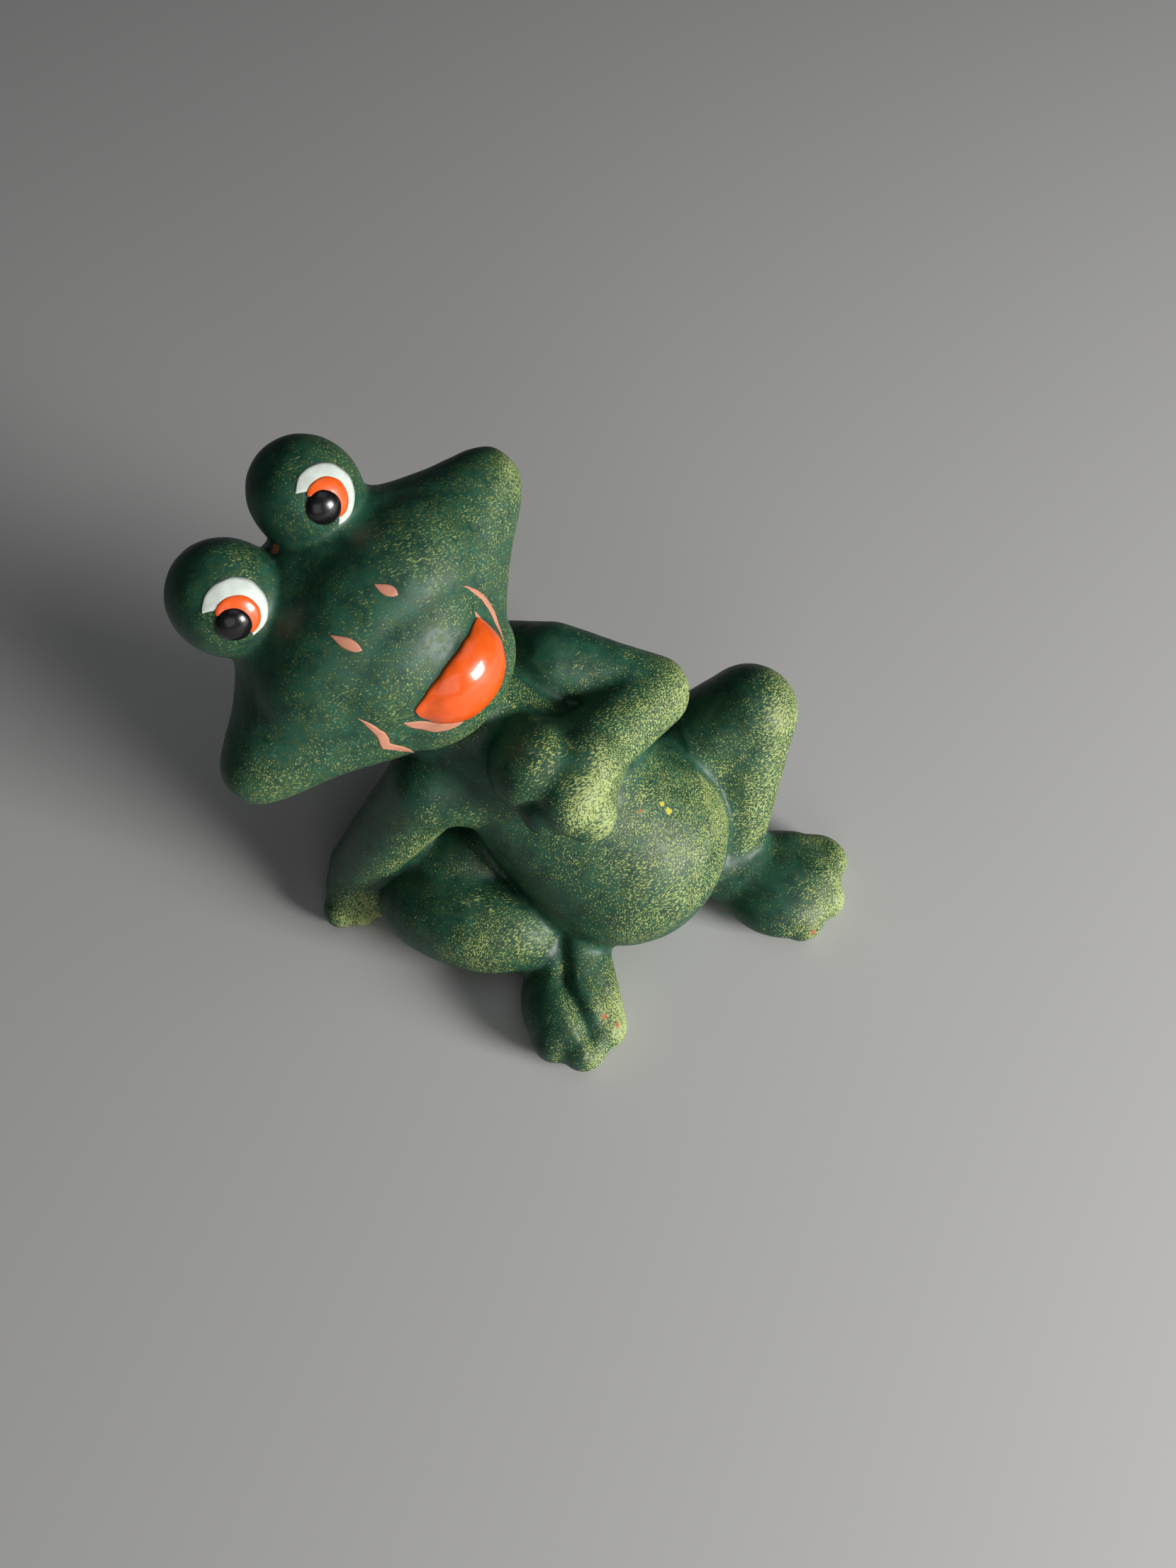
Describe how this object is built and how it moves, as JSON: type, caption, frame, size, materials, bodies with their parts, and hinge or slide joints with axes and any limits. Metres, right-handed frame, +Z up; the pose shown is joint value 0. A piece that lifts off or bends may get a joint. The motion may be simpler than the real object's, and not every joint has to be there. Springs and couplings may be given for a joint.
{
  "type": "frog figurine",
  "caption": "Small hand-painted terracotta frog figurine, lounging on its seat with a knee up, leaning on a straight arm with its other hand under its chin.",
  "frame": {"origin": "on the resting plane, under the middle of the figurine's box", "axes": "+Z up; the frog faces -Y, with its own left hand side towards +X"},
  "size_m": [0.0582, 0.0516, 0.0582],
  "materials": {
    "glazed_green": "satin, sponged with yellow",
    "tongue_orange": "gloss",
    "eye_white": "gloss",
    "iris_orange": "gloss",
    "pupil_black": "gloss",
    "stroke_pink": "satin"
  },
  "bodies": {
    "root": {"torso": "glazed_green", "head": "glazed_green", "left_eyeball": "glazed_green", "right_eyeball": "glazed_green", "left_arm": "glazed_green", "right_arm": "glazed_green", "left_leg": "glazed_green", "right_leg": "glazed_green", "left_foot": "glazed_green", "right_foot": "glazed_green", "tongue": "tongue_orange", "left_eye_white": "eye_white", "right_eye_white": "eye_white", "left_iris": "iris_orange", "right_iris": "iris_orange", "left_pupil": "pupil_black", "right_pupil": "pupil_black", "left_nostril_mark": "stroke_pink", "right_nostril_mark": "stroke_pink", "left_smile_line": "stroke_pink", "right_smile_line": "stroke_pink", "lower_lip_line": "stroke_pink", "mouth_corner_mark": "stroke_pink"}
  },
  "joints": []
}
